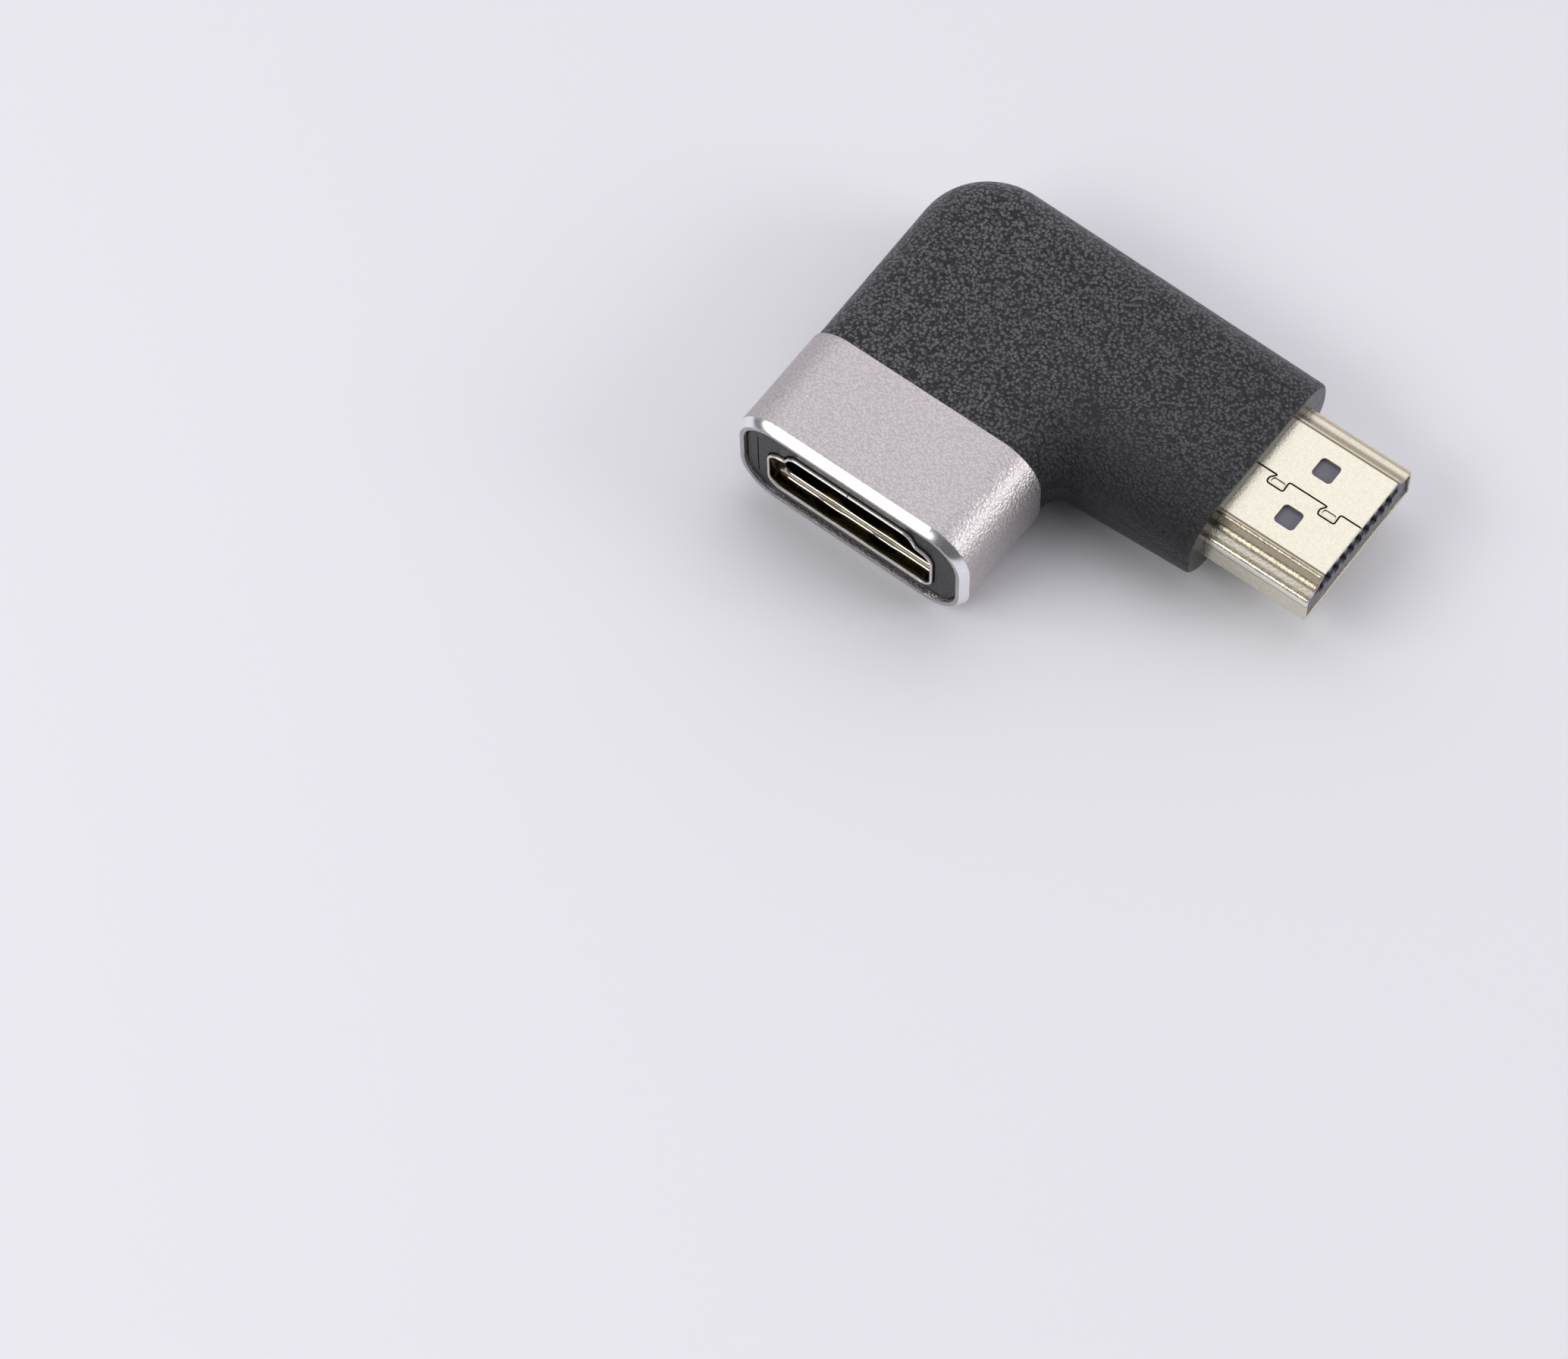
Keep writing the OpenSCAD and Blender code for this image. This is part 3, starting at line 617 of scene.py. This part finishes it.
# Painted light: the upper half has a lighter base colour than the lower half, for the light on the top.
black_upper = black_plastic("black_plastic_upper", (0.06, 0.06, 0.067), 0.25 * MM)
black_lower = black_plastic("black_plastic_lower", (0.017, 0.017, 0.019), 0.08 * MM)
smooth_black = grained("black_end_face", (0.012, 0.011, 0.011), 0, Cell_Share=0.0, Fine=0.3 * MM, Depth=0.01 * MM,
                       Smooth=0.2, Rough=0.32)[0]


def top_height(x, y):
    """Plane of the top above the axes: it falls towards the plug and towards the back."""
    return TOP_HEIGHT + (END_HEIGHT - TOP_HEIGHT) / END_X * x + TOP_SLOPE * y


def low_height(x, y):
    """Underside below the axes, the same for every y: flat, then rising evenly to END_HEIGHT at the end face, with
    the bend softened as s ln(1 + exp((x - knee - s) / s))."""
    run = END_X - KNEE_X
    rise = KNEE_SOFT * np.log1p(np.exp(np.clip((x - KNEE_X - KNEE_SOFT) / KNEE_SOFT, -30, 30)))
    return MID + (END_HEIGHT - MID) / run * rise * run / (run - KNEE_SOFT)


def housing_ring(a, height, sign):
    """Outline of the housing at the angle a up its rounded edge, anticlockwise from the end face. The fillet is a
    ball of radius FILLET_R rolled along the crease: centre - FILLET_R n(t), where n(t) turns from one arm's
    normal to the other's."""
    c, s = math.cos(a), math.sin(a)
    d = EDGE_R * (1 - c)
    far = np.linspace(END_X, KNEE_X - 3 * MM, 26)
    left = np.linspace(0, 1, 8)[1:]
    xy = [np.stack([np.full(9, END_X), np.linspace(-HALF_ARM + d, BACK_Y - d, 9)], 1)[:-1],
          np.stack([far, np.full(26, BACK_Y - d)], 1),
          arc(LEFT_X + CORNER_R, BACK_Y - CORNER_R, CORNER_R - d, 90, 180, 24),
          np.stack([LEFT_X + (-HALF_SOCKET - LEFT_X) * left + d,
                    BACK_Y - CORNER_R + (SEAM_Y - BACK_Y + CORNER_R) * left], 1),
          np.stack([np.linspace(-HALF_SOCKET + d, HALF_SOCKET - d, 14)[1:], np.full(13, SEAM_Y)], 1)]
    xy = np.concatenate(xy)
    fall = np.full(len(xy), EDGE_R * (1 - s))
    cx = HALF_SOCKET - EDGE_R + (EDGE_R + FILLET_R) * c
    cy = -(HALF_ARM - EDGE_R + (EDGE_R + FILLET_R) * c)
    cz = -EDGE_R + (EDGE_R + FILLET_R) * s
    turn = math.acos(min(1.0, s * s))
    t = np.linspace(0, 1, 13)
    if turn > 1e-3:
        w0, w1 = np.sin((1 - t) * turn) / math.sin(turn), np.sin(t * turn) / math.sin(turn)
    else:
        w0, w1 = 1 - t, t
    fx, fy, fz = cx - FILLET_R * w0 * c, cy + FILLET_R * w1 * c, cz - FILLET_R * (w0 + w1) * s
    near = np.linspace(0, 1, 16)[1:-1]
    run = np.stack([fx[-1] + (END_X - fx[-1]) * near, np.full(14, -HALF_ARM + d)], 1)
    xy = np.concatenate([xy, np.stack([fx, fy], 1), run])
    fall = np.concatenate([fall, -fz, np.full(14, EDGE_R * (1 - s))])
    z = height(xy[:, 0], xy[:, 1]) - fall
    return np.column_stack([xy, MID + sign * z])


def board_outline(side, ends):
    """L-shaped outline of the board's seat, wider by side and longer by ends."""
    h, x1, y1 = 6.2 * MM + side, 17.2 * MM + ends, 9.0 * MM + ends
    return np.array([(-h, -y1), (h, -y1), (h, -h), (x1, -h), (x1, h), (-h, h)])


def housing_half(name, height, sign, plastic, replaced):
    """Rings climb from the middle plane over the edge, and the flat top closes them. The end face's rim and the
    parting line are broken, and the hollows for the plug, the socket's neck and the board are cut out."""
    parting = housing_ring(0, height, sign)
    parting[:, 2] = MID
    angles = np.radians(np.append(np.linspace(0, 84, 15), 87.5))
    bm = bmesh.new()
    verts = rings_mesh(bm, [parting] + [housing_ring(a, height, sign) for a in angles])
    bm.faces.new(verts[0])
    bm.faces.new(verts[-1])
    bmesh.ops.recalc_face_normals(bm, faces=bm.faces)
    bm.normal_update()
    flat_end = [f for f in bm.faces if all(v.co.x > END_X - 1e-7 for v in f.verts)]
    end = bmesh.ops.dissolve_faces(bm, faces=flat_end)["region"][0]
    rim = [e for e in end.edges if not all(abs(v.co.z - MID) < 1e-7 for v in e.verts)]
    bmesh.ops.bevel(bm, geom=rim, offset=0.33 * MM, segments=4, profile=0.5, affect="EDGES")
    bm.normal_update()
    line = [e for e in bm.edges if all(abs(v.co.z - MID) < 1e-7 for v in e.verts)
            and e.verts[0].co.y + e.verts[1].co.y > 2 * (SEAM_Y + 0.01 * MM)]
    bmesh.ops.bevel(bm, geom=line, offset=0.05 * MM, segments=2, profile=0.5, affect="EDGES")
    room, seat = 2.5 * MM, 0.52 * MM    # above and below the board's middle: around it, and at its edge
    bm = cut(bm, [prism(outset(plug_profile(), PLAY), 17.5 * MM, END_X + MM, "X"),
                  prism(rounded_rect(17.5 * MM, 7.5 * MM, 2.04 * MM, 8), SEAM_Y - MM, -9.3 * MM, "Y"),
                  prism(board_outline(-0.8 * MM, 0.5 * MM), MID - room, MID + room, "Z"),
                  prism(board_outline(PLAY, PLAY), MID - seat, MID + seat, "Z")])
    for f in bm.faces:
        f.material_index = 1 if f.normal.x > 0.9 and f.calc_center_median().x > END_X - 0.1 * MM else 0
    finish_piece(name, bm, [plastic, smooth_black], replaced)


housing_half("housing_top", top_height, 1, black_upper, "upper_housing")
housing_half("housing_base", low_height, -1, black_lower, "lower_housing")


# Metal sleeve
# An aluminium tube, blasted and anodised pale, pushed over the nose up to the housing. It has a fine edge at the
# seam, and a chamfer cut bright at the mouth with a narrow ring in front of it.
SLEEVE_W, SLEEVE_H, SLEEVE_R = 21.4 * MM, 10.4 * MM, 3.7 * MM
# inset from the outside in mm and place along the sleeve: seam, outside, chamfer, ring and back inside
SLEEVE_WALL = [(0.12, SEAM_Y), (0.03, SEAM_Y - 0.03 * MM), (0, SEAM_Y - 0.12 * MM), (0, SEAM_Y - 3 * MM),
               (0, MOUTH_Y + 3 * MM), (0, MOUTH_Y + 0.78 * MM), (0.02, MOUTH_Y + 0.70 * MM),
               (0.43, MOUTH_Y + 0.03 * MM), (0.47, MOUTH_Y), (0.78, MOUTH_Y), (0.83, MOUTH_Y + 0.03 * MM),
               (0.85, MOUTH_Y + 0.09 * MM), (0.85, MOUTH_Y + 2 * MM), (0.85, SEAM_Y)]
CHAMFER_RINGS = (6, 7)


def sleeve():
    """Rounded rectangle, inset by i all round, carried along SLEEVE_WALL as a closed wall. The rows of faces
    after the rings of the chamfer are polished."""
    bm = bmesh.new()
    rings = [along_y(rounded_rect(SLEEVE_W - 2 * i * MM, SLEEVE_H - 2 * i * MM, SLEEVE_R - i * MM, 20), y)
             for i, y in SLEEVE_WALL]
    rings_mesh(bm, rings, closed=True)
    for k, f in enumerate(bm.faces):
        f.material_index = 1 if k // len(rings[0]) in CHAMFER_RINGS else 0
    aluminium = grained("blasted_aluminium", (0.57, 0.53, 0.53), 1, 0.86, 1.12, Cell=0.22 * MM, Cell_Share=0.8,
                        Fine=0.15 * MM, Depth=0.045 * MM, Smooth=0.36, Rough=0.48)[0]
    polished = grained("polished_chamfer", (0.93, 0.93, 0.94), 1, Cell_Share=0.0, Fine=1.5 * MM, Depth=0.0,
                       Smooth=0.2, Rough=0.3)[0]
    finish_piece("sleeve", bm, [aluminium, polished], "metal_sleeve", sharp=28)


sleeve()


bpy.context.view_layer.update()
